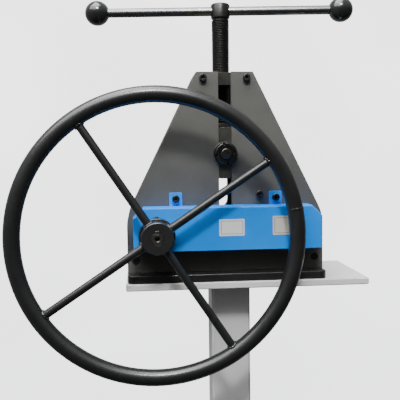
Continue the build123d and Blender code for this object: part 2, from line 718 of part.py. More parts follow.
wheel_plane = front_seat(-SHAFT_X, SHAFT_Z, RIM_Y)
with BuildPart() as handwheel_spokes:
    for number in range(4):
        angle = math.radians(FIRST_SPOKE_ANGLE + 90 * number)
        outward = Vector(math.cos(angle), 0, math.sin(angle))
        root = Vector(-SHAFT_X, RIM_Y, SHAFT_Z) + outward * (HUB_R - 4)
        with BuildSketch(Plane(origin=root, z_dir=outward)):
            Circle(SPOKE_R)
        extrude(amount=rim_centre_r - HUB_R)
    with BuildSketch(front_seat(-SHAFT_X, SHAFT_Z, HUB_BACK)):
        Circle(HUB_R)
    extrude(amount=HUB_LENGTH, mode=Mode.SUBTRACT)
    with BuildSketch(axle_plane(-SHAFT_X, SHAFT_Z)):
        with Locations((RIM_Y, rim_centre_r)):
            Circle(RIM_TUBE_R)
    revolve(axis=Axis((-SHAFT_X, 0, SHAFT_Z), (0, 1, 0)), mode=Mode.SUBTRACT)
save(handwheel_spokes.part, "handwheel_spokes")

# ---- forming rollers and what holds them on their shafts ----
ROLLER_EDGE = 1.5
UPPER_THRUST_GAP = 0.5
SPACER_OUTER_R = 22.0
WASHER = 3.0
WASHER_R = 21.0
NUT_WIDTH = 8.0
NUT_SLOT_ANGLE = 10.0
WASHER_RIM = 2.0
ROLLER_NUT_R = 19.0
UPPER_NUT_R = 18.5


def roller_body(x, z):
    """The whole outline of a forming roller, bored and with its keyway."""
    middle = (ROLLER_BACK + ROLLER_FRONT) / 2
    with BuildPart() as wheel:
        with BuildSketch(axle_plane(x, z)):
            with Locations((middle, (JOURNAL_R + ROLLER_R) / 2)):
                Rectangle(ROLLER_WIDTH, ROLLER_R - JOURNAL_R)
            with Locations((ROLLER_BACK + TUBE_GROOVE_Y, ROLLER_R)):
                Circle(TUBE_GROOVE_R, mode=Mode.SUBTRACT)
            with Locations((ROLLER_BACK + BAR_GROOVE_Y, ROLLER_R)):
                Rectangle(BAR_GROOVE_WIDTH, 2 * BAR_GROOVE_DEPTH, mode=Mode.SUBTRACT)
        revolve(axis=Axis((x, 0, z), (0, 1, 0)))
        rims = wheel.edges().filter_by(GeomType.CIRCLE)
        chamfer([e for e in rims if abs(e.radius - ROLLER_R) < 0.01], ROLLER_EDGE)
        with BuildSketch(Plane(origin=(x, middle, z))):
            Rectangle(ROLLER_KEY_WIDTH, ROLLER_WIDTH)
        key_top = JOURNAL_R - ROLLER_KEY_DEPTH + ROLLER_KEY_HEIGHT
        extrude(amount=key_top + KEY_TOP_GAP, mode=Mode.SUBTRACT)
    return wheel.part


def roller(x, z):
    """A forming roller: four rings side by side on one key, with a half-round groove for tube
    between the first two and a square one for bar around the third."""
    bar_groove = ROLLER_BACK + BAR_GROOVE_Y
    joints = [
        ROLLER_BACK,
        ROLLER_BACK + TUBE_GROOVE_Y,
        bar_groove - BAR_GROOVE_WIDTH / 2,
        bar_groove + BAR_GROOVE_WIDTH / 2,
        ROLLER_FRONT,
    ]
    rings = []
    for y_from, y_to in zip(joints, joints[1:]):
        with BuildPart() as piece:
            add(roller_body(x, z))
            with BuildSketch(front_seat(x, z, y_to)):
                Circle(2 * ROLLER_R)
            extrude(amount=y_to - y_from, mode=Mode.INTERSECT)
        rings.append(piece.part)
    return Compound(children=rings)


def slotted_nut(x, z, y_from, inner, outer):
    """A round nut with four spanner slots."""
    middle = y_from + NUT_WIDTH / 2
    with BuildPart() as nut:
        add(ring(x, z, y_from, y_from + NUT_WIDTH, inner, outer, SHAFT_EDGE))
        with BuildSketch(front_seat(x, z, middle)):
            with PolarLocations(outer, 4, start_angle=NUT_SLOT_ANGLE):
                Rectangle(outer - inner, NUT_SLOT)
        extrude(amount=NUT_WIDTH, both=True, mode=Mode.SUBTRACT)
    return nut.part


roller_places = {
    "left": (-SHAFT_X, SHAFT_Z, THRUST_FACE),
    "right": (SHAFT_X, SHAFT_Z, THRUST_FACE),
    "upper": (0.0, UPPER_SHAFT_Z, FRONT_FACE - UPPER_THRUST_GAP),
}
for hand, (x, z, thrust) in roller_places.items():
    save(roller(x, z), f"{hand}_roller")
    save(roller_key(x, z), f"{hand}_roller_key")
    save(ring(x, z, -thrust, ROLLER_BACK, JOURNAL_R, SPACER_OUTER_R), f"{hand}_roller_spacer")
    washer = ring(x, z, ROLLER_FRONT, ROLLER_FRONT + WASHER, ROLLER_THREAD_R, ROLLER_NUT_R + WASHER_RIM)
    save(washer, f"{hand}_roller_washer")
    nut = slotted_nut(x, z, ROLLER_FRONT + WASHER, ROLLER_THREAD_R + THREAD_GAP, ROLLER_NUT_R)
    save(nut, f"{hand}_roller_nut")

# ---- slider: runs between the plates, guided by tongues in their slots ----
SLIDER_HALF = 40.0
SLIDER_BOTTOM = 178.0
SLIDER_TOP = 268.0
SLIDE_GAP = 0.2
TONGUE_GAP = 0.1
TONGUE_CHAMFER = 3.0
SLIDER_BUSH_LENGTH = 22.0
COLLAR_R = 13.0
COLLAR_BOTTOM = 260.0
KEEPER_TOP = 276.0
KEEPER_HALF = 27.0
KEEPER_SCREW_X = 21.5
M5_R = 2.5
M5_HEAD_R = 4.25
M5_HEAD = 5.0
M5_CLEAR_R = 2.75
NECK_R = 10.0
UPPER_NECK_R = 10.75
UPPER_THREAD_R = 9.0
UPPER_THREAD_OUT = 4.0
FRONT_RELIEF = 14.0
REAR_RELIEF = 18.0
TONGUE_SHORTFALL = 0.5
SLIDER_EDGE = 2.0
COLLAR_ROOM = 0.5
END_PLAY = 0.1
KEEPER_DEPTH = 40.0
KEEPER_SLOT_LENGTH = 30.0
KEEPER_THREAD_DEPTH = 14.0
KEEPER_SCREW_LENGTH = 20.0
NECK_GAP = 0.2

slider_face = PLATE_GAP / 2 - SLIDE_GAP
slider_middle = (SLIDER_BOTTOM + SLIDER_TOP) / 2


def tongue(plane, width, relief):
    """A guide tongue above and below the shaft, on one face of the slider."""
    with BuildPart() as guides:
        with BuildSketch(plane) as section:
            with Locations((0, slider_middle)):
                Rectangle(width - 2 * TONGUE_GAP, SLIDER_TOP - SLIDER_BOTTOM)
            chamfer(section.vertices().group_by(Axis.Z)[0], TONGUE_CHAMFER)
            with Locations((0, UPPER_SHAFT_Z)):
                Rectangle(width, 2 * relief, mode=Mode.SUBTRACT)
        extrude(amount=PLATE_THICK - TONGUE_SHORTFALL)
    return guides.part


with BuildPart() as slider_block:
    with BuildSketch(Plane.XZ.offset(slider_face)):
        with Locations((0, slider_middle)):
            Rectangle(2 * SLIDER_HALF, SLIDER_TOP - SLIDER_BOTTOM)
    extrude(amount=-2 * slider_face)
    chamfer(slider_block.edges().filter_by(Axis.Y), SLIDER_EDGE)
    add(tongue(front_seat(0, 0, -slider_face), FRONT_SLOT_WIDTH, FRONT_RELIEF))
    add(tongue(rear_seat(0, 0, slider_face), REAR_SLOT_WIDTH, REAR_RELIEF))
    with BuildSketch(Plane.XZ.offset(slider_face)):
        with Locations((0, UPPER_SHAFT_Z)):
            Circle(BUSH_R)
    extrude(amount=-2 * slider_face, mode=Mode.SUBTRACT)
    with BuildSketch(Plane.XY.offset(SLIDER_TOP)):
        Circle(COLLAR_R + COLLAR_ROOM)
    extrude(amount=COLLAR_BOTTOM - SLIDER_TOP - END_PLAY, mode=Mode.SUBTRACT)
    with BuildSketch(Plane.XY.offset(SLIDER_TOP)):
        with Locations((-KEEPER_SCREW_X, 0), (KEEPER_SCREW_X, 0)):
            Circle(M5_R + THREAD_GAP)
    extrude(amount=-KEEPER_THREAD_DEPTH, mode=Mode.SUBTRACT)
save(slider_block.part, "slider_block")

with BuildPart() as slider_bushes:
    for y_from in (-slider_face, slider_face - SLIDER_BUSH_LENGTH):
        y_to = y_from + SLIDER_BUSH_LENGTH
        add(ring(0, UPPER_SHAFT_Z, y_from, y_to, JOURNAL_R + RUNNING_GAP, BUSH_R))
save(slider_bushes.part, "slider_bushes")

with BuildPart() as screw_keeper:
    with BuildSketch(Plane.XY.offset(SLIDER_TOP)):
        Rectangle(2 * KEEPER_HALF, KEEPER_DEPTH)
        Circle(NECK_R + NECK_GAP, mode=Mode.SUBTRACT)
        Rectangle(
            2 * (NECK_R + NECK_GAP),
            KEEPER_SLOT_LENGTH,
            align=(Align.CENTER, Align.MIN),
            mode=Mode.SUBTRACT,
        )
        with Locations((-KEEPER_SCREW_X, 0), (KEEPER_SCREW_X, 0)):
            Circle(M5_CLEAR_R, mode=Mode.SUBTRACT)
    extrude(amount=KEEPER_TOP - SLIDER_TOP)
save(screw_keeper.part, "screw_keeper")

with BuildPart() as keeper_screws:
    for x in (-KEEPER_SCREW_X, KEEPER_SCREW_X):
        seat = Plane(origin=(x, 0, KEEPER_TOP))
        add(cap_screw(seat, KEEPER_SCREW_LENGTH, M5_R, M5_HEAD_R, M5_HEAD))
save(keeper_screws.part, "keeper_screws")

# ---- upper shaft: turns in the slider, held by a washer and a round nut in front ----
upper_thrust = FRONT_FACE - UPPER_THRUST_GAP
upper_end = upper_thrust - WASHER - NUT_WIDTH - UPPER_THREAD_OUT
with BuildPart() as upper_shaft:
    add(stepped(0, UPPER_SHAFT_Z, upper_end, [
        (upper_thrust, UPPER_THREAD_R),
        (-slider_face, UPPER_NECK_R),
        (ROLLER_FRONT, JOURNAL_R),
        (SHAFT_END, ROLLER_THREAD_R),
    ]))
    add(roller_key(0, UPPER_SHAFT_Z), mode=Mode.SUBTRACT)
save(upper_shaft.part, "upper_shaft")

front_washer = ring(0, UPPER_SHAFT_Z, upper_thrust - WASHER, upper_thrust, UPPER_THREAD_R, WASHER_R)
save(front_washer, "upper_front_washer")
front_nut_y = upper_thrust - WASHER - NUT_WIDTH
front_nut = slotted_nut(0, UPPER_SHAFT_Z, front_nut_y, UPPER_THREAD_R + THREAD_GAP, UPPER_NUT_R)
save(front_nut, "upper_front_nut")

# ---- lead screw: pushes and pulls the slider, turned by a bar through its head ----
THREAD_BOTTOM = 282.0
THREAD_TOP = 464.0
THREAD_FLANK_ANGLE = 15.0
THREAD_LEAD_IN = 2.0
SHOULDER_GAP = 0.5
HEAD_STEP = 1.0
HEAD_CHAMFER = 2.0
BAR_GAP = 0.2


def screw_profile():
    """Half of the lead screw's section, as (radius, z), with its thread as rings."""
    points = [
        (0, COLLAR_BOTTOM),
        (COLLAR_R, COLLAR_BOTTOM),
        (COLLAR_R, SLIDER_TOP - END_PLAY),
        (NECK_R, SLIDER_TOP - END_PLAY),
        (NECK_R, KEEPER_TOP + SHOULDER_GAP),
        (SCREW_R - THREAD_LEAD_IN, KEEPER_TOP + SHOULDER_GAP),
        (SCREW_R, KEEPER_TOP + SHOULDER_GAP + THREAD_LEAD_IN),
    ]
    turns = int((THREAD_TOP - THREAD_BOTTOM) / SCREW_PITCH)
    flank = THREAD_DEPTH * math.tan(math.radians(THREAD_FLANK_ANGLE))
    floor = SCREW_PITCH / 2 - flank
    for turn in range(turns):
        z = THREAD_BOTTOM + turn * SCREW_PITCH
        points += [
            (SCREW_R, z),
            (SCREW_R - THREAD_DEPTH, z + flank),
            (SCREW_R - THREAD_DEPTH, z + floor),
            (SCREW_R, z + floor + flank),
        ]
    points += [
        (SCREW_R, SCREW_HEAD_Z - HEAD_STEP),
        (SCREW_HEAD_R, SCREW_HEAD_Z),
        (SCREW_HEAD_R, SCREW_TOP_Z - HEAD_CHAMFER),
        (SCREW_HEAD_R - HEAD_CHAMFER, SCREW_TOP_Z),
        (0, SCREW_TOP_Z),
    ]
    return points


bar_direction = Vector(1, 0, 0).rotate(Axis.Z, BAR_TURN)
bar_middle = Vector(0, 0, BAR_Z) + bar_direction * BAR_SHIFT
bar_plane = Plane(origin=bar_middle, x_dir=(0, 0, 1), z_dir=bar_direction)

with BuildPart() as lead_screw:
    with BuildSketch(Plane.XZ):
        with BuildLine():
            Polyline(*screw_profile(), close=True)
        make_face()
    revolve(axis=Axis.Z)
    with BuildSketch(bar_plane):
        Circle(BAR_R + BAR_GAP)
    extrude(amount=2 * SCREW_HEAD_R, both=True, mode=Mode.SUBTRACT)
save(lead_screw.part, "lead_screw")

# ---- tommy bar: slides through the screw's head and carries a ball knob on each end ----
BALL_FLAT = 1.5
BAR_THREAD_R = 5.0
BAR_THREAD = 16.0
KNOB_HOLE_SPARE = 1.0
bar_half = BALL_SPACING / 2 - BALL_R + BALL_FLAT

with BuildPart() as tommy_bar:
    with BuildSketch(bar_plane):
        Circle(BAR_R)
    extrude(amount=bar_half, both=True)
    with BuildSketch(bar_plane):
        Circle(BAR_THREAD_R)
    extrude(amount=bar_half + BAR_THREAD, both=True)
save(tommy_bar.part, "tommy_bar")


def ball_knob(end):
    """A ball knob with a flat and a threaded hole towards the bar; end is -1 or 1."""
    outward = bar_direction * end
    centre = BALL_SPACING / 2
    flat = bar_half
    flat_r = math.sqrt(BALL_R**2 - (centre - flat) ** 2)
    hole_end = bar_half + BAR_THREAD + KNOB_HOLE_SPARE
    hole_r = BAR_THREAD_R + THREAD_GAP
    upright = Plane(origin=bar_middle, x_dir=outward, z_dir=outward.cross(Vector(0, 0, 1)))
    with BuildPart() as knob:
        with BuildSketch(upright):
            with BuildLine():
                Polyline((hole_end, 0), (hole_end, hole_r), (flat, hole_r), (flat, flat_r))
                ThreePointArc((flat, flat_r), (centre, BALL_R), (centre + BALL_R, 0))
                Line((centre + BALL_R, 0), (hole_end, 0))
            make_face()
        revolve(axis=Axis(bar_middle, bar_direction))
    return knob.part


with BuildPart() as ball_knobs:
    add(ball_knob(-1))
    add(ball_knob(1))
save(ball_knobs.part, "ball_knobs")
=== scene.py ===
"""The looks of a hand-driven three-roller bender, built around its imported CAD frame. Metres, +Z up."""
import json
import math

import bmesh
import bpy
from mathutils import Matrix, Vector, noise


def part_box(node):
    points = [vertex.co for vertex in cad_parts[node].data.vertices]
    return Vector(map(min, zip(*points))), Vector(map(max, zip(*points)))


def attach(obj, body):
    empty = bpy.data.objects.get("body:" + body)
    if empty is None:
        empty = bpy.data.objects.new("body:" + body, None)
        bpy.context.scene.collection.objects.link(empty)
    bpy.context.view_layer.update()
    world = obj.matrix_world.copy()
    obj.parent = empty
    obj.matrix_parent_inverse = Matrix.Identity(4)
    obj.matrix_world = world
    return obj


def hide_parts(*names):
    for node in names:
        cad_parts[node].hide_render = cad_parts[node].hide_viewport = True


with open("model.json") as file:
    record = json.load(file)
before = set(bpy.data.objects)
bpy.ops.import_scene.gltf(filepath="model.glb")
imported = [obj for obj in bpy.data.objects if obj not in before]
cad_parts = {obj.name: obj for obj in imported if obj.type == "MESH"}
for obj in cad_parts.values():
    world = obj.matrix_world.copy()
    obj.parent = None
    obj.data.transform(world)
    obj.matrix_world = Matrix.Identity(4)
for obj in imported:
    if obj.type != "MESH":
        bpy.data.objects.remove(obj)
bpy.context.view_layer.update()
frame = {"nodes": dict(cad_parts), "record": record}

# ---- places and sizes, from the frame ----
WHEEL_LOW, WHEEL_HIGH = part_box("handwheel_rim")
WHEEL_CENTRE = (WHEEL_LOW + WHEEL_HIGH) / 2
WHEEL_R = (WHEEL_HIGH.x - WHEEL_LOW.x) / 2
RIM_TUBE_R = (WHEEL_HIGH.y - WHEEL_LOW.y) / 2
GUARD_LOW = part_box("chain_guard")[0]
SCREW_LOW, SCREW_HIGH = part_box("lead_screw")
BAR_LOW, BAR_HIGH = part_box("tommy_bar")

# ---- sizes that no node's box gives ----
MM = 0.001
HUB_R = 27.0 * MM
SPOKE_R = 7.0 * MM
FIRST_SPOKE_ANGLE = math.radians(33.5)
SCREW_R = 16.0 * MM
SCREW_PITCH = 3.0 * MM
THREAD_DEPTH = 1.75 * MM
THREAD_FLANK_ANGLE = math.radians(15)
SCREW_COLLAR_R = 13.0 * MM
SCREW_COLLAR_LENGTH = 7.9 * MM
SCREW_NECK_R = 10.0 * MM
SCREW_NECK_END = 16.5 * MM
SCREW_HEAD_LENGTH = 25.0 * MM
BAR_HOLE_R = 8.2 * MM
HUB_WELD = 2.6 * MM
RIM_WELD = 2.4 * MM
RIM_JOINT_ANGLE = math.radians(10.7)
LABEL_CORNER = 1.5 * MM
LABEL_THICK = 0.15 * MM
LABEL_GAP = 0.01 * MM
WHITE_LABEL_CENTRE = Vector((0.005, 0, 0.0955))
WHITE_LABEL_HALF = (22.0 * MM, 14.5 * MM)
CREAM_LABEL_CENTRE = Vector((0.0985, 0, 0.0975))
CREAM_LABEL_HALF = (22.5 * MM, 16.5 * MM)

# ---- the stage, its light and the camera ----
FLOOR_Z = -0.80
FLOOR_R = 2.6
WALL_R = 3.6
WALL_TOP = 3.2
STAND_THICK = 0.012
LIT_MIDDLE = (0.0, 0.0, 0.2)
SKY_BASE = 0.06
SKY_GLOWS = (("Z", 0.1, 0.9, 0.6), ("Y", 0.2, 0.9, 0.4), ("X", -0.3, -1.0, 0.12))
SKY_COLOUR = (1.0, 1.0, 0.99, 1.0)
CAMERA_PLACE = Vector((-0.1470, -1.1739, 0.2231))
CAMERA_YAW = math.radians(5.15)
CAMERA_PITCH = math.radians(4.17)
CAMERA_ROLL = math.radians(-0.76)
CAMERA_LENS = 57.6
CAMERA_SENSOR = 36.0


# ---- node materials ----
class Shader:
    """A node material with short ways to add nodes and join them."""

    def __init__(self, name):
        self.material = bpy.data.materials.new(name)
        self.material.use_nodes = True
        self.tree = self.material.node_tree
        self.surface = self.tree.nodes["Principled BSDF"]

    def put(self, socket, value):
        """Joins value to an input if it is a socket, and sets it otherwise."""
        if isinstance(value, bpy.types.NodeSocket):
            self.tree.links.new(value, socket)
        else:
            socket.default_value = value

    def node(self, kind, settings=None, **inputs):
        """A node with its settings and its inputs, an underscore standing for a space."""
        node = self.tree.nodes.new(kind)
        for name, value in (settings or {}).items():
            setattr(node, name, value)
        for name, value in inputs.items():
            self.put(node.inputs[name.replace("_", " ")], value)
        return node

    def set(self, **inputs):
        """Inputs of the surface shader."""
        for name, value in inputs.items():
            self.put(self.surface.inputs[name.replace("_", " ")], value)

    def math(self, operation, *values):
        """One math node."""
        node = self.node("ShaderNodeMath", {"operation": operation})
        for socket, value in zip(node.inputs, values):
            self.put(socket, value)
        return node.outputs[0]

    def place(self, scale=(1, 1, 1)):
        """Object coordinates, stretched."""
        where = self.node("ShaderNodeTexCoord").outputs["Object"]
        return self.node("ShaderNodeMapping", Vector=where, Scale=scale).outputs[0]

    def noise(self, scale, detail=3.0, roughness=0.5, vector=None):
        """Noise from 0 to 1 whose scale is in features per metre."""
        vector = self.place() if vector is None else vector
        texture = self.node(
            "ShaderNodeTexNoise", Vector=vector, Scale=scale, Detail=detail, Roughness=roughness
        )
        return texture.outputs[0]

    def between(self, value, low, high, out_low=0.0, out_high=1.0):
        """Stretches a value's range, clamped."""
        node = self.node("ShaderNodeMapRange")
        for socket, number in zip(node.inputs, (value, low, high, out_low, out_high)):
            self.put(socket, number)
        return node.outputs[0]

    def mix(self, factor, first, second):
        """Mixes two colours."""
        node = self.node("ShaderNodeMix", {"data_type": "RGBA"})
        self.put(node.inputs[0], factor)
        self.put(node.inputs[6], first)
        self.put(node.inputs[7], second)
        return node.outputs[2]

    def edges(self, radius):
        """Near 1 on sharp edges and 0 on flat faces, with the softened normal."""
        soft = self.node("ShaderNodeBevel", {"samples": 6}, Radius=radius).outputs[0]
        sharp = self.node("ShaderNodeNewGeometry").outputs["Normal"]
        dot = self.node("ShaderNodeVectorMath", {"operation": "DOT_PRODUCT"})
        self.put(dot.inputs[0], soft)
        self.put(dot.inputs[1], sharp)
        return self.between(dot.outputs["Value"], 1.0, 0.86), soft

    def bump(self, height, distance, strength=1.0, normal=None):
        """A bump whose distance is in metres."""
        node = self.node("ShaderNodeBump", Height=height, Distance=distance, Strength=strength)
        if normal is not None:
            self.put(node.inputs["Normal"], normal)
        return node.outputs[0]


def rgb(red, green, blue):
    """A linear colour with full alpha."""
    return (red, green, blue, 1.0)


def grey(value, warmth=0.0):
    """A near-neutral linear colour, warmer or cooler."""
    return rgb(value * (1 + warmth), value, value * (1 - warmth))


def powder_coat(
    name, colour, edge_tone, roughness, peel=0.00002, mottle=0.12, coat=0.0, gloss=0.18, shine=0.5
):
    """Baked paint: orange peel, a slow drift of tone, handling marks and rubbed edges."""
    s = Shader(name)
    edge, soft = s.edges(0.0006)
    tone = s.noise(9.0, 4.0, 0.6)
    darker = tuple(c * (1 - mottle) for c in colour[:3]) + (1.0,)
    lighter = tuple(min(c * (1 + mottle), 1) for c in colour[:3]) + (1.0,)
    body = s.mix(s.between(tone, 0.35, 0.65), darker, lighter)
    rub = s.between(s.noise(260.0, 5.0, 0.65), 0.42, 0.62)
    edge_mask = s.math("MULTIPLY", s.math("MULTIPLY", edge, rub), 0.55)
    marks = s.noise(60.0, 6.0, 0.7, s.place((1.0, 1.0, 0.35)))
    scuffed = s.between(marks, 0.56, 0.72, 0.0, 0.10)
    body = s.mix(scuffed, body, edge_tone)
    height = s.math("ADD", s.noise(700.0, 2.0), s.math("MULTIPLY", s.noise(2600.0, 1.0), 0.35))
    spread = s.between(s.noise(24.0, 5.0, 0.6), 0.3, 0.7, roughness - 0.06, roughness + 0.07)
    s.set(
        Base_Color=s.mix(edge_mask, body, edge_tone),
        Roughness=spread,
        Coat_Weight=coat,
        Coat_Roughness=gloss,
        Specular_IOR_Level=shine,
        Normal=s.bump(height, peel, 1.0, soft),
    )
    return s.material


def black_oxide(name, colour, roughness, oil=0.5, brown=0.25, edge_tone=0.22):
    """Blackened steel: machined grain under a thin oil film, browner where it is thin."""
    s = Shader(name)
    edge, soft = s.edges(0.0004)
    grain = s.noise(1800.0, 3.0, 0.6)
    patch = s.between(s.noise(70.0, 5.0, 0.65), 0.38, 0.66)
    browner = (colour[0] * 1.5, colour[1] * 1.22, colour[2], 1.0)
    body = s.mix(s.math("MULTIPLY", patch, brown), colour, browner)
    # Sharp edges turn towards the edge tone. On most parts this is rubbed wear; with the nut's and
    # washer's high edge tone it is a painted highlight.
    edge_mask = s.math("MULTIPLY", edge, s.between(grain, 0.35, 0.6, 0.25, 0.8))
    s.set(
        Base_Color=s.mix(edge_mask, body, grey(edge_tone, 0.03)),
        Metallic=0.75,
        Roughness=s.between(patch, 0.0, 1.0, roughness - 0.08, roughness + 0.10),
        Coat_Weight=oil,
        Coat_Roughness=0.35,
        Normal=s.bump(grain, 0.00001, 1.0, soft),
    )
    return s.material


def turned_steel(name, colour, roughness, along, lines=2200.0, depth=0.000012):
    """Lathe-turned steel: fine rings across its axis, slight tarnish and polished edges."""
    s = Shader(name)
    edge, soft = s.edges(0.0003)
    stretch = [lines * 0.004] * 3
    stretch["xyz".index(along)] = lines
    rings = s.noise(1.0, 3.0, 0.6, s.place(tuple(stretch)))
    stain = s.between(s.noise(55.0, 5.0, 0.6), 0.36, 0.68)
    tarnished = (colour[0] * 0.62, colour[1] * 0.60, colour[2] * 0.56, 1.0)
    body = s.mix(s.math("MULTIPLY", stain, 0.5), colour, tarnished)
    s.set(
        Base_Color=s.mix(s.math("MULTIPLY", edge, 0.5), body, grey(0.75)),
        Metallic=1.0,
        Roughness=s.between(rings, 0.3, 0.7, roughness - 0.07, roughness + 0.10),
        Normal=s.bump(rings, depth, 1.0, soft),
    )
    return s.material


def phenolic(name):
    """Moulded black phenolic: deep gloss with a faint haze."""
    s = Shader(name)
    haze = s.noise(40.0, 4.0, 0.6)
    s.set(
        Base_Color=s.mix(haze, rgb(0.011, 0.0115, 0.012), rgb(0.017, 0.017, 0.018)),
        Roughness=s.between(haze, 0.3, 0.7, 0.16, 0.27),
        Specular_IOR_Level=0.55,
        Coat_Weight=0.4,
        Coat_Roughness=0.08,
        Normal=s.bump(s.noise(500.0, 2.0), 0.000006),
    )
    return s.material


def label_stock(name, paper, ink, centre, half):
    """A plain blank label: a thin frame line inside its edge, on slightly toned stock."""
    s = Shader(name)
    where = s.node("ShaderNodeSeparateXYZ", Vector=s.place()).outputs
    across = s.math("ABSOLUTE", s.math("SUBTRACT", where["X"], centre.x))
    up = s.math("ABSOLUTE", s.math("SUBTRACT", where["Z"], centre.z))
    inset, line = 0.0035, 0.0005
    reach = s.math(
        "MAXIMUM",
        s.math("SUBTRACT", across, half[0] - inset),
        s.math("SUBTRACT", up, half[1] - inset),
    )
    frame_line = s.math("LESS_THAN", s.math("ABSOLUTE", reach), line)
    tone = s.between(s.noise(120.0, 5.0, 0.7), 0.3, 0.7)
    aged = tuple(c * 0.93 for c in paper[:3]) + (1.0,)
    stock = s.mix(tone, paper, aged)
    s.set(
        Base_Color=s.mix(s.math("MULTIPLY", frame_line, 0.7), stock, ink),
        Roughness=s.between(tone, 0.0, 1.0, 0.38, 0.5),
        Normal=s.bump(s.noise(900.0, 2.0), 0.000008),
    )
    return s.material


def plain_stage(name, value, roughness=0.6):
    """Pale studio surface."""
    s = Shader(name)
    tone = s.noise(3.0, 3.0)
    s.set(
        Base_Color=s.mix(tone, grey(value), grey(value * 0.97)),
        Roughness=roughness,
        Normal=s.bump(s.noise(300.0, 3.0), 0.00003),
    )
    return s.material


MATERIALS = {
    "plate_paint": powder_coat("plate_paint", rgb(0.090, 0.090, 0.083), grey(0.20, 0.02), 0.42),
    "base_paint": powder_coat("base_paint", grey(0.013), grey(0.09), 0.34),
    "wheel_paint": powder_coat(
        "wheel_paint", grey(0.010, -0.03), grey(0.08), 0.36, coat=0.5, gloss=0.22
    ),
    "guard_paint": powder_coat(
        "guard_paint", rgb(0.0, 0.25, 0.87), rgb(0.10, 0.42, 0.9), 0.42, mottle=0.04, shine=0.2
    ),
    "black_oxide": black_oxide("black_oxide", rgb(0.026, 0.027, 0.024), 0.40),
    "bright_steel": turned_steel("bright_steel", grey(0.55, 0.01), 0.24, "y"),
    "roller_steel": turned_steel("roller_steel", grey(0.36, 0.01), 0.32, "y"),
    "bronze": turned_steel("bronze", rgb(0.56, 0.34, 0.13), 0.34, "y"),
    "chain_steel": black_oxide("chain_steel", rgb(0.13, 0.12, 0.10), 0.34, 0.7),
    "knob_plastic": phenolic("knob_plastic"),
}
BAR_STEEL = turned_steel("bar_steel", grey(0.19, -0.01), 0.32, "x", 4000.0, 0.000002)
SCREW_STEEL = black_oxide("screw_steel", rgb(0.019, 0.020, 0.018), 0.38, 0.5, edge_tone=0.05)
SHAFT_STEEL = black_oxide("shaft_steel", rgb(0.060, 0.060, 0.056), 0.32, 0.5)
SLIDER_STEEL = black_oxide("slider_steel", rgb(0.056, 0.059, 0.051), 0.45, 0.4)
BLOCK_STEEL = black_oxide("block_steel", rgb(0.034, 0.037, 0.031), 0.45, 0.4)
WELD_PAINT = powder_coat("weld_paint", grey(0.012), grey(0.08), 0.22, coat=0.9, gloss=0.10)
# The nut and washer get a bright edge tone: a painted highlight on their chamfers and slot edges.
COLLAR_STEEL_PAINTED_HIGHLIGHT = black_oxide("collar_steel_painted_highlight", rgb(0.030, 0.031, 0.028), 0.30, 0.5, edge_tone=0.6)


def paint_nodes():
    """Gives every CAD node the material of its slot, with a few of their own."""
    own = {"tommy_bar": BAR_STEEL, "slider_block": SLIDER_STEEL, "nut_block": BLOCK_STEEL}
    own |= {name: SHAFT_STEEL for name in ("drive_shaft", "upper_shaft", "handwheel_key")}
    own |= {name: COLLAR_STEEL_PAINTED_HIGHLIGHT for name in ("upper_front_nut", "upper_front_washer")}
    slots = {part["node"]: part["material_slot"] for part in frame["record"]["subparts"]}
    for name, piece in frame["nodes"].items():
        piece.data.materials.clear()
        piece.data.materials.append(own.get(name) or MATERIALS[slots[name]])


# ---- mesh pieces ----
def finish_mesh(name, work, material, sharp=35.0):
    """Turns a bmesh into a smooth-shaded object, with its sharper edges kept crisp."""
    bmesh.ops.remove_doubles(work, verts=work.verts, dist=1e-6)
    bmesh.ops.recalc_face_normals(work, faces=work.faces)
    for face in work.faces:
        face.smooth = True
    for edge in work.edges:
        edge.smooth = edge.calc_face_angle(0) < math.radians(sharp)
    mesh = bpy.data.meshes.new(name)
    work.to_mesh(mesh)
    work.free()
    mesh.materials.append(material)
    piece = bpy.data.objects.new(name, mesh)
    bpy.context.scene.collection.objects.link(piece)
    return piece


def grid(work, rows, close_rows=False, close_columns=False):
    """Adds rows of points to a bmesh as a sheet of quads, closed either way."""
    verts = [[work.verts.new(point) for point in row] for row in rows]
    row_pairs = list(zip(verts, verts[1:] + verts[:1])) if close_rows else list(zip(verts, verts[1:]))
    for first, second in row_pairs:
        count = len(first)
        for i in range(count if close_columns else count - 1):
            j = (i + 1) % count
            work.faces.new((first[i], first[j], second[j], second[i]))


def lathe(work, profile, sides=96):
    """Adds a body turned about Z: profile is a list of (radius, height)."""
    rows = []
    for radius, height in profile:
        turn = [2 * math.pi * k / sides for k in range(sides)]
        rows.append([(radius * math.cos(a), radius * math.sin(a), height) for a in turn])
    grid(work, rows, close_columns=True)


def cut_with(piece, cutter):
    """Cuts one object out of another, and drops the cutter."""
    modifier = piece.modifiers.new("cut", "BOOLEAN")
    modifier.operation = "DIFFERENCE"
    modifier.object = cutter
    modifier.solver = "EXACT"
    bpy.context.view_layer.update()
    evaluated = piece.evaluated_get(bpy.context.evaluated_depsgraph_get())
    mesh = bpy.data.meshes.new_from_object(evaluated)
    piece.modifiers.clear()
    piece.data = mesh
    bpy.data.objects.remove(cutter)


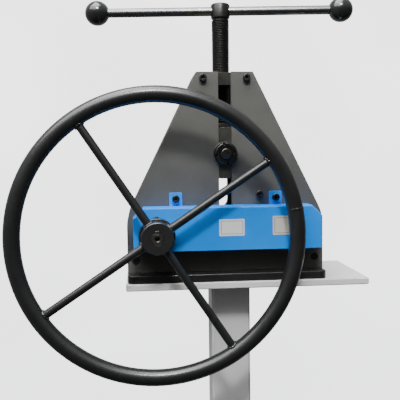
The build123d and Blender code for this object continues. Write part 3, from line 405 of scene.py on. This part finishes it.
def screw_body(material):
    """The screw's turned body: collar, neck, thread core and drilled head."""
    head_r = (SCREW_HIGH.x - SCREW_LOW.x) / 2
    foot, top = SCREW_LOW.z, SCREW_HIGH.z
    head = top - SCREW_HEAD_LENGTH
    core = SCREW_R - THREAD_DEPTH
    tip = 0.01 * MM
    work = bmesh.new()
    lathe(work, [
        (tip, foot),
        (SCREW_COLLAR_R, foot),
        (SCREW_COLLAR_R, foot + SCREW_COLLAR_LENGTH),
        (SCREW_NECK_R, foot + SCREW_COLLAR_LENGTH),
        (SCREW_NECK_R, foot + SCREW_NECK_END),
        (core, foot + SCREW_NECK_END),
        (core, head - 2.0 * MM),
        (SCREW_R - 0.3 * MM, head - 1.5 * MM),
        (SCREW_R, head - 1.0 * MM),
        (head_r - 0.3 * MM, head - 0.1 * MM),
        (head_r, head + 0.3 * MM),
        (head_r, top - 2.4 * MM),
        (head_r - 0.4 * MM, top - 1.6 * MM),
        (head_r - 1.8 * MM, top - 0.3 * MM),
        (head_r - 2.4 * MM, top),
        (tip, top),
    ])
    body = finish_mesh("lead_screw_body", work, material)
    middle = (BAR_LOW + BAR_HIGH) / 2
    reach = Vector((BAR_HIGH.x - BAR_LOW.x, BAR_LOW.y - BAR_HIGH.y, 0)).normalized()
    turn = reach.to_track_quat("Z", "Y").to_matrix().to_4x4()
    drill = bmesh.new()
    bmesh.ops.create_cone(
        drill,
        cap_ends=True,
        segments=64,
        radius1=BAR_HOLE_R,
        radius2=BAR_HOLE_R,
        depth=5 * SCREW_R,
        matrix=Matrix.Translation((0, 0, middle.z)) @ turn,
    )
    cut_with(body, finish_mesh("drill", drill, material))
    return body


def screw_thread(material):
    """The trapezoidal thread, one start, wound right-handed on the screw's core."""
    low = SCREW_LOW.z + SCREW_NECK_END + 2.0 * MM
    high = SCREW_HIGH.z - SCREW_HEAD_LENGTH - 1.8 * MM
    turn_steps, run_out_steps = 48, 14
    core = SCREW_R - THREAD_DEPTH - 0.1 * MM
    flank = THREAD_DEPTH * math.tan(THREAD_FLANK_ANGLE)
    crest = SCREW_PITCH / 2 - flank
    section = [
        (core, 0.0),
        (SCREW_R - 0.25 * MM, flank - 0.05 * MM),
        (SCREW_R, flank + 0.2 * MM),
        (SCREW_R, flank + crest - 0.2 * MM),
        (SCREW_R - 0.25 * MM, flank + crest + 0.05 * MM),
        (core, 2 * flank + crest),
    ]
    steps = ((high - low) / SCREW_PITCH - 0.75) * turn_steps
    rows = []
    for step in range(int(steps) + 1):
        angle = 2 * math.pi * step / turn_steps
        run_out = min(step / run_out_steps, (steps - step) / run_out_steps, 1.0)
        rise = low + SCREW_PITCH * step / turn_steps
        row = []
        for radius, height in section:
            r = core + (radius - core) * run_out
            row.append((r * math.cos(angle), r * math.sin(angle), rise + height))
        rows.append(row)
    work = bmesh.new()
    grid(work, rows, close_columns=True)
    return finish_mesh("lead_screw_thread", work, material, 20.0)


def lead_screw():
    """The lead screw with its real helical thread, in place of the ringed CAD node."""
    body = screw_body(SCREW_STEEL)
    thread = screw_thread(SCREW_STEEL)
    for piece in (body, thread):
        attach(piece, "screw")
    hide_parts("lead_screw")
    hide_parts("lead_screw")


def weld_bead(name, outward, seat, radius, seed):
    """A weld bead round a spoke, lying along the curve where it meets another body.

    seat(across, back) gives the distance from the wheel's centre to that body, at an offset
    across the spoke and one along the wheel's axle.
    """
    around, section_points, ripples = 72, 12, 11
    work = bmesh.new()
    side = Vector((-outward.z, 0, outward.x))
    depth = Vector((0, 1, 0))
    rows = []
    for i in range(around):
        a = 2 * math.pi * i / around
        across, back = SPOKE_R * math.cos(a), SPOKE_R * math.sin(a)
        foot = WHEEL_CENTRE + side * across + depth * back + outward * seat(across, back)
        away = (side * math.cos(a) + depth * math.sin(a)).normalized()
        unevenness = 0.16 * noise.noise(Vector((a * 2, seed, 0.3)))
        size = radius * (1 + 0.12 * math.cos(a * ripples + seed) + unevenness)
        ring = []
        for k in range(section_points):
            t = 2 * math.pi * k / section_points
            ring.append(foot + away * (size * math.cos(t)) + outward * (size * 0.9 * math.sin(t)))
        rows.append(ring)
    grid(work, rows, close_rows=True, close_columns=True)
    piece = finish_mesh(name, work, WELD_PAINT, 60.0)
    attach(piece, "drive")


def wheel_welds():
    """Beads where the four spokes meet the hub and the rim."""
    ring_r = WHEEL_R - RIM_TUBE_R

    def on_hub(across, back):
        return math.sqrt(HUB_R**2 - across**2)

    def on_rim(across, back):
        inside = ring_r - math.sqrt(RIM_TUBE_R**2 - back**2)
        return math.sqrt(inside**2 - across**2)

    for number in range(4):
        angle = FIRST_SPOKE_ANGLE + number * math.pi / 2
        outward = Vector((math.cos(angle), 0, math.sin(angle)))
        weld_bead(f"hub_weld_{number + 1}", outward, on_hub, HUB_WELD, number * 1.7)
        weld_bead(f"rim_weld_{number + 1}", outward, on_rim, RIM_WELD, number * 2.3 + 5)


def rim_joint():
    """The low bead of the butt joint that closes the rim's tube."""
    sections, around, ripples = 9, 64, 9
    half_width, height, sink = 2.2 * MM, 0.55 * MM, 0.1 * MM
    outward = Vector((math.cos(RIM_JOINT_ANGLE), 0, math.sin(RIM_JOINT_ANGLE)))
    along = Vector((-math.sin(RIM_JOINT_ANGLE), 0, math.cos(RIM_JOINT_ANGLE)))
    centre = WHEEL_CENTRE + outward * (WHEEL_R - RIM_TUBE_R)
    rows = []
    for section in range(sections):
        t = section / (sections - 1) * 2 - 1
        row = []
        for k in range(around):
            a = 2 * math.pi * k / around
            lift = height * (1 - t * t) * (1 + 0.3 * math.cos(a * ripples)) - sink
            radial = outward * math.cos(a) + Vector((0, 1, 0)) * math.sin(a)
            row.append(centre + radial * (RIM_TUBE_R + lift) + along * (t * half_width))
        rows.append(row)
    work = bmesh.new()
    grid(work, rows, close_columns=True)
    piece = finish_mesh("rim_joint_bead", work, MATERIALS["wheel_paint"], 60.0)
    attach(piece, "drive")


def label(name, centre, half, material):
    """A thin blank label with rounded corners, stuck to the guard's front."""
    segments = 6
    outline = []
    for turn, (sx, sz) in enumerate(((1, 1), (-1, 1), (-1, -1), (1, -1))):
        for k in range(segments + 1):
            a = math.pi / 2 * (turn + k / segments)
            x = sx * (half[0] - LABEL_CORNER) + LABEL_CORNER * math.cos(a)
            z = sz * (half[1] - LABEL_CORNER) + LABEL_CORNER * math.sin(a)
            outline.append((centre.x + x, centre.z + z))
    work = bmesh.new()
    front = [work.verts.new((x, GUARD_LOW.y - LABEL_THICK, z)) for x, z in outline]
    back = [work.verts.new((x, GUARD_LOW.y - LABEL_GAP, z)) for x, z in outline]
    work.faces.new(front)
    work.faces.new(back)
    for i in range(len(outline)):
        j = (i + 1) % len(outline)
        work.faces.new((front[i], front[j], back[j], back[i]))
    piece = finish_mesh(name, work, material)
    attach(piece, "frame")


def labels():
    """The two blank labels on the guard."""
    ink = rgb(0.10, 0.16, 0.30)
    paper = rgb(0.62, 0.60, 0.53)
    white = label_stock("label_white", grey(0.80), ink, WHITE_LABEL_CENTRE, WHITE_LABEL_HALF)
    cream = label_stock("label_cream", paper, grey(0.12), CREAM_LABEL_CENTRE, CREAM_LABEL_HALF)
    label("label_left", WHITE_LABEL_CENTRE, WHITE_LABEL_HALF, white)
    label("label_right", CREAM_LABEL_CENTRE, CREAM_LABEL_HALF, cream)


# ---- stage, light and camera ----
def slab(name, low, high, edge, material):
    """A bevelled block of the stage."""
    work = bmesh.new()
    bmesh.ops.create_cube(work, size=1.0)
    size, middle = high - low, (low + high) / 2
    for vert in work.verts:
        vert.co = Vector(a * b for a, b in zip(vert.co, size)) + middle
    bmesh.ops.bevel(work, geom=work.edges[:], offset=edge, segments=3, affect="EDGES")
    piece = finish_mesh(name, work, material)
    return piece


def glowing_backdrop():
    """A pale backdrop that shines evenly, a little dimmer towards its floor."""
    s = Shader("backdrop_glow")
    height = s.node("ShaderNodeSeparateXYZ", Vector=s.place()).outputs["Z"]
    glow = s.node(
        "ShaderNodeEmission",
        Color=s.mix(s.between(height, FLOOR_Z, 1.0), rgb(0.93, 0.94, 0.95), rgb(1.0, 1.0, 1.0)),
        Strength=s.between(s.noise(0.8, 2.0), 0.3, 0.7, 2.9, 3.3),
    )
    s.put(s.tree.nodes["Material Output"].inputs["Surface"], glow.outputs[0])
    return s.material


def studio():
    """A pale floor that curves up into a round backdrop, and the stand under the base.

    Only the camera sees the backdrop, so the object is lit by the sky and the lamps alone.
    """
    bend_r, bend_steps = WALL_R - FLOOR_R, 12
    profile = [(0.01, FLOOR_Z), (FLOOR_R, FLOOR_Z)]
    for step in range(1, bend_steps + 1):
        a = math.pi / 2 * step / bend_steps
        profile.append((FLOOR_R + bend_r * math.sin(a), FLOOR_Z + bend_r * (1 - math.cos(a))))
    profile.append((WALL_R, WALL_TOP))
    work = bmesh.new()
    lathe(work, profile)
    backdrop = finish_mesh("backdrop", work, glowing_backdrop(), 60.0)
    backdrop.visible_shadow = False
    backdrop.visible_diffuse = False
    backdrop.visible_glossy = False
    pale = plain_stage("stand_pale", 0.75, 0.45)
    top_low, top_high = Vector((-0.178, -0.086, -STAND_THICK)), Vector((0.25, 0.10, 0.0))
    post_low, post_high = Vector((-0.025, -0.035, FLOOR_Z)), Vector((0.045, 0.035, -STAND_THICK))
    slab("stand_top", top_low, top_high, 1.5 * MM, pale)
    slab("stand_post", post_low, post_high, 4.0 * MM, pale)


def lamp(name, place, size, power, shine=1.0):
    """An area light that looks at the object's middle; shine scales its share in reflections."""
    data = bpy.data.lights.new(name, "AREA")
    data.shape = "RECTANGLE"
    data.size, data.size_y = size
    data.energy = power
    data.specular_factor = shine
    lamp_object = bpy.data.objects.new(name, data)
    lamp_object.location = place
    aim = Vector(LIT_MIDDLE) - Vector(place)
    lamp_object.rotation_euler = aim.to_track_quat("-Z", "Y").to_euler()
    bpy.context.scene.collection.objects.link(lamp_object)


def lights():
    """A wide panel above on the left, a small key above in front and a soft overhead light."""
    lamp("panel", (-1.10, -1.00, 1.90), (2.2, 1.2), 50.0)
    lamp("key", (-0.10, -1.70, 2.00), (0.4, 0.3), 52.0, 0.3)
    lamp("overhead", (-0.35, -0.35, 2.3), (1.6, 1.2), 64.0)


def sky():
    """A sky that is bright above, softer behind, and dim to the left, in front and below."""
    world = bpy.data.worlds.new("studio_sky")
    world.use_nodes = True
    tree = world.node_tree
    where = tree.nodes.new("ShaderNodeSeparateXYZ")
    coords = tree.nodes.new("ShaderNodeTexCoord")
    tree.links.new(coords.outputs["Generated"], where.inputs[0])
    total = SKY_BASE
    for axis, low, high, strength in SKY_GLOWS:
        reach = tree.nodes.new("ShaderNodeMapRange")
        tree.links.new(where.outputs[axis], reach.inputs["Value"])
        reach.inputs["From Min"].default_value = low
        reach.inputs["From Max"].default_value = high
        reach.inputs["To Max"].default_value = strength
        add = tree.nodes.new("ShaderNodeMath")
        tree.links.new(reach.outputs[0], add.inputs[0])
        if isinstance(total, float):
            add.inputs[1].default_value = total
        else:
            tree.links.new(total, add.inputs[1])
        total = add.outputs[0]
    background = tree.nodes["Background"]
    background.inputs["Color"].default_value = SKY_COLOUR
    tree.links.new(total, background.inputs["Strength"])
    bpy.context.scene.world = world


def camera():
    """A camera on the handwheel's side, a little left of the frame and above the hub."""
    level = Vector((math.cos(CAMERA_YAW), -math.sin(CAMERA_YAW), 0))
    forward = Vector((math.sin(CAMERA_YAW), math.cos(CAMERA_YAW), 0))
    ahead = forward * math.cos(CAMERA_PITCH) - Vector((0, 0, math.sin(CAMERA_PITCH)))
    above = level.cross(ahead)
    right = level * math.cos(CAMERA_ROLL) + above * math.sin(CAMERA_ROLL)
    up = above * math.cos(CAMERA_ROLL) - level * math.sin(CAMERA_ROLL)
    data = bpy.data.cameras.new("camera")
    data.sensor_width = CAMERA_SENSOR
    data.lens = CAMERA_LENS
    eye = bpy.data.objects.new("camera", data)
    turn = Matrix((right, up, -ahead)).transposed().to_4x4()
    eye.matrix_world = Matrix.Translation(CAMERA_PLACE) @ turn
    bpy.context.scene.collection.objects.link(eye)
    bpy.context.scene.camera = eye


paint_nodes()
lead_screw()
wheel_welds()
rim_joint()
labels()
studio()
lights()
sky()
camera()
